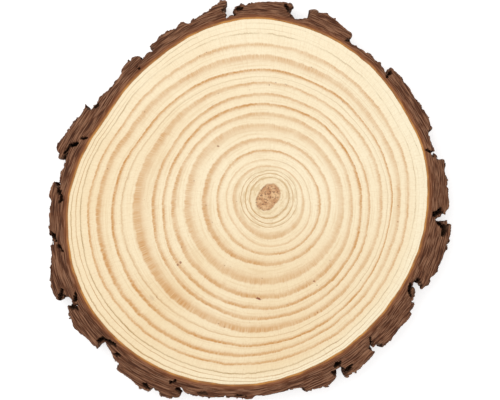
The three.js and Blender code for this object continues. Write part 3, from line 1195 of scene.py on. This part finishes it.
def bark_material():
    material, nodes, shader, where = new_material("weathered_bark")
    marks = nodes.add("ShaderNodeAttribute", attribute_name="bark").outputs["Vector"]
    out, sunk, side = nodes.split(marks)
    bend = nodes.between(nodes.noise(where, 22.0), 0.25, 0.75, -0.4, 0.4)
    layer = nodes.plus(out, bend)
    thin = nodes.streaks(where, layer, 9.0, 1.4, 2.0)
    sawn = sawn_bark_colour(nodes, where, out, thin, layer)

    # Scaly outer wall, grey on its proud faces and rusty underneath
    scale_tone = nodes.grain(where, 0.008, 1.8, 4.0)
    upright = nodes.grain(where, 0.0016, 4.0, 4.0)
    wall = nodes.blend(nodes.between(scale_tone, 0.4, 0.6), tint(104, 62, 40), tint(136, 104, 82))
    wall = nodes.blend(nodes.between(upright, 0.45, 0.62, 0.0, 0.6), wall, tint(66, 41, 29))
    colour = nodes.blend(side, sawn, wall)

    # Painted shade: deep places, low places of the wall and patches along the broken rim are blended to
    # one dull brown, and the rendered shadow makes them almost black
    colour = nodes.blend(nodes.between(sunk, 0.0, 0.8, 0.0, 0.9), colour, tint(96, 68, 50))

    pits = nodes.grain(where, 0.0009, detail=4.0)
    relief = nodes.plus(nodes.times(thin, 1.4), pits)
    relief = nodes.plus(relief, nodes.times(upright, side))
    roughness = nodes.between(thin, 0.3, 0.7, 0.96, 0.82)
    fill_shader(nodes, shader, colour, roughness, 0.2, (relief, 0.7, 0.0005))
    return material


def flake_material():
    material, nodes, shader, where = new_material("flaky_bark")
    tone = nodes.add("ShaderNodeAttribute", attribute_name="tone").outputs["Fac"]
    upright = nodes.grain(where, 0.0014, 3.5, 4.0)
    colour = nodes.blend(nodes.between(tone, 0.1, 0.9), tint(98, 60, 40), tint(134, 102, 82))
    colour = nodes.blend(nodes.between(upright, 0.45, 0.62, 0.0, 0.6), colour, tint(66, 41, 29))
    colour = nodes.blend(nodes.between(upright, 0.42, 0.32, 0.0, 0.5), colour, tint(160, 128, 104))
    roughness = nodes.between(upright, 0.3, 0.7, 0.82, 0.96)
    fill_shader(nodes, shader, colour, roughness, 0.2, (upright, 0.6, 0.0004))
    return material


# ---------------------------------------------------------------- floor, light and camera


def floor():
    half = FLOOR_HALF
    low = FLOOR_Z - FLOOR_GAP
    corners = [(-half, -half, low), (half, -half, low), (half, half, low), (-half, half, low)]
    mesh = bpy.data.meshes.new("floor")
    mesh.from_pydata(corners, [], [(0, 1, 2, 3)])
    piece = bpy.data.objects.new("floor", mesh)
    bpy.context.scene.collection.objects.link(piece)
    material = bpy.data.materials.new("pale_floor")
    material.use_nodes = True
    shader = material.node_tree.nodes["Principled BSDF"]
    shader.inputs["Base Color"].default_value = (0.6, 0.6, 0.6, 1)
    shader.inputs["Roughness"].default_value = 0.8
    shader.inputs["Emission Color"].default_value = (1, 1, 1, 1)
    shader.inputs["Emission Strength"].default_value = 0.6
    mesh.materials.append(material)


def studio_light():
    world = bpy.data.worlds.new("soft_room")
    world.use_nodes = True
    background = world.node_tree.nodes["Background"]
    background.inputs["Color"].default_value = (1, 1, 1, 1)
    background.inputs["Strength"].default_value = 0.76
    bpy.context.scene.world = world
    lamp = bpy.data.lights.new("soft_lamp", "AREA")
    lamp.shape = "DISK"
    lamp.size = 1.6
    lamp.energy = 10
    holder = bpy.data.objects.new("soft_lamp", lamp)
    holder.location = (-0.5, 0.5, 1.5)
    holder.rotation_mode = "QUATERNION"
    holder.rotation_quaternion = Vector(holder.location).to_track_quat("Z", "Y")
    bpy.context.scene.collection.objects.link(holder)
    bpy.context.scene.view_settings.view_transform = "Standard"


def straight_down_camera():
    """Looks straight down, near enough for the slice to fill the picture's height."""
    width_seen = 0.311
    data = bpy.data.cameras.new("camera")
    data.lens = 100
    data.sensor_width = 36
    camera = bpy.data.objects.new("camera", data)
    distance = width_seen * data.lens / data.sensor_width
    camera.location = (0, 0, cad_box[1].z + distance)
    bpy.context.scene.collection.objects.link(camera)
    bpy.context.scene.camera = camera


straight_down_camera()
studio_light()
floor()

wood = sawn_wood()
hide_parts("wood_disc")
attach(wood, "root")

bark_piece = rough_bark()
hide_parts("bark_ring")
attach(bark_piece, "root")

flakes = loose_flakes(bark_piece)
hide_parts("bark_ring")
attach(flakes, "root")
